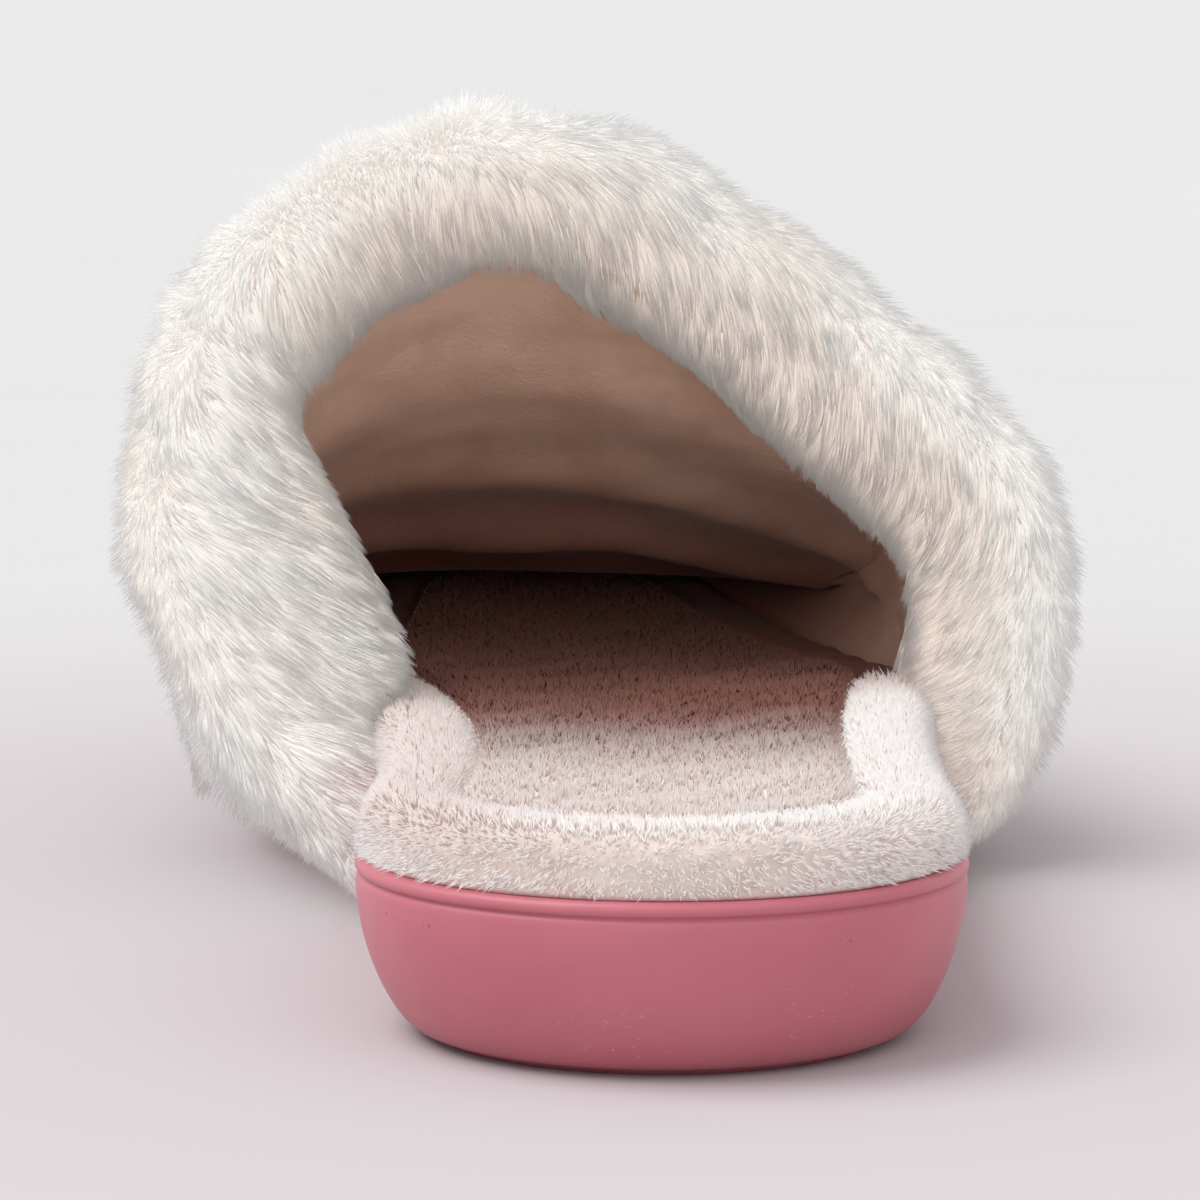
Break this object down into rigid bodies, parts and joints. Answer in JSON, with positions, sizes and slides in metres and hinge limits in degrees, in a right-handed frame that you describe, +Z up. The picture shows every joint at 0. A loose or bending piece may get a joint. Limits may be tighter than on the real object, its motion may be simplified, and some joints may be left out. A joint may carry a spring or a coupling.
{
  "type": "house slipper",
  "caption": "Backless fluffy house slipper for the right foot: moulded cup sole, plush footbed and wrap, long-pile fur upper with a turned fur cuff.",
  "frame": {"origin": "on the ground, under the middle of the sole outline, in the flat face of the tread", "axes": "+Y to the toe, +X to the outer side of the right foot, +Z up"},
  "size_m": [0.1382, 0.281, 0.1074],
  "materials": {
    "tread_rubber": "satin moulded rubber",
    "cup_foam": "satin moulded foam, dusty pink",
    "inner_foam": "open foam",
    "fibre_board": "pressed fibre",
    "plush": "short pile plush, cream",
    "fur": "long pile faux fur, off-white",
    "lining_fleece": "brushed fleece, taupe",
    "thread": "sewing thread",
    "tape": "woven tape"
  },
  "bodies": {
    "root": {"outsole_tread": "tread_rubber", "cup_midsole": "cup_foam", "platform_foam": "inner_foam", "insole_board": "fibre_board", "footbed_cushion": "inner_foam", "sock_cover": "plush", "platform_wrap": "plush", "sock_seam_thread": "thread", "fur_vamp": "fur", "vamp_padding": "inner_foam", "vamp_lining": "lining_fleece", "fur_cuff": "fur", "cuff_seam_thread": "thread", "topline_tape": "tape"}
  },
  "joints": []
}
